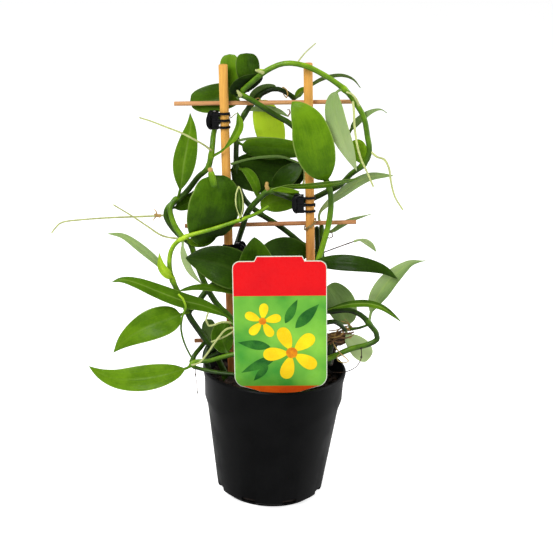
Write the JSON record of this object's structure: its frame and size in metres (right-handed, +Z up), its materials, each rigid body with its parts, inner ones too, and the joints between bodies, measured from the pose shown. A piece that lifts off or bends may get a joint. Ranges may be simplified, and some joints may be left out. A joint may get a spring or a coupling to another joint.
{
  "type": "potted vanilla orchid on a rack",
  "caption": "Climbing vanilla orchid trained over a leaning bamboo rack with sprung claw clips, in its tapered black nursery pot with a plant label.",
  "frame": {"origin": "centre of the pot's flat base", "axes": "+Z up out of the pot, -Y the side that the label faces, +X to the right of someone who reads the label"},
  "size_m": [0.3046, 0.1192, 0.3812],
  "materials": {
    "pot_plastic": "satin black injection-moulded plastic",
    "substrate": "moist bark and peat",
    "bamboo": "smooth golden bamboo skin",
    "bamboo_stick": "split bamboo, matt",
    "wire": "plastic-coated tie wire",
    "clip_plastic": "glossy black plastic",
    "steel": "bright spring wire pin",
    "label_plastic": "printed glossy plastic sheet",
    "young_green": "waxy succulent leaf and stem",
    "dark_green": "waxy succulent leaf and stem, shaded"
  },
  "bodies": {
    "plant": {"pot": "pot_plastic", "substrate": "substrate", "stake_left": "bamboo", "stake_right": "bamboo", "crossbar_top": "bamboo_stick", "crossbar_middle": "bamboo_stick", "crossbar_lower": "bamboo_stick", "tie_middle_right": "wire", "brad_top_left": "steel", "brad_top_right": "steel", "brad_middle_left": "steel", "brad_lower_left": "steel", "brad_lower_right": "steel", "clip_upper_rear_jaw": "clip_plastic", "clip_upper_pin": "steel", "clip_middle_rear_jaw": "clip_plastic", "clip_middle_pin": "steel", "clip_lower_rear_jaw": "clip_plastic", "clip_lower_pin": "steel", "label": "label_plastic", "vine_main": "young_green", "vine_centre": "dark_green", "vine_right": "young_green", "vine_low": "young_green", "vine_label": "dark_green"},
    "upper_jaw": {"clip_upper_front_jaw": "clip_plastic"},
    "middle_jaw": {"clip_middle_front_jaw": "clip_plastic"},
    "lower_jaw": {"clip_lower_front_jaw": "clip_plastic"}
  },
  "joints": [
    {"name": "upper_clip_hinge", "type": "hinge", "parent": "plant", "child": "upper_jaw", "pos_m": [-0.05547, 0.006, 0.31518], "axis": [0.0593, 0, -0.9982], "range_deg": [0, 25], "stiffness_Nm_per_rad": 0.006, "springref_deg": -20.05},
    {"name": "middle_clip_hinge", "type": "hinge", "parent": "plant", "child": "middle_jaw", "pos_m": [0.01536, 0.006, 0.24927], "axis": [0.0593, 0, -0.9982], "range_deg": [0, 25], "stiffness_Nm_per_rad": 0.006, "springref_deg": -20.05},
    {"name": "lower_clip_hinge", "type": "hinge", "parent": "plant", "child": "lower_jaw", "pos_m": [-0.03384, 0.006, 0.20727], "axis": [-0.0593, 0, 0.9982], "range_deg": [0, 25], "stiffness_Nm_per_rad": 0.006, "springref_deg": -20.05}
  ]
}
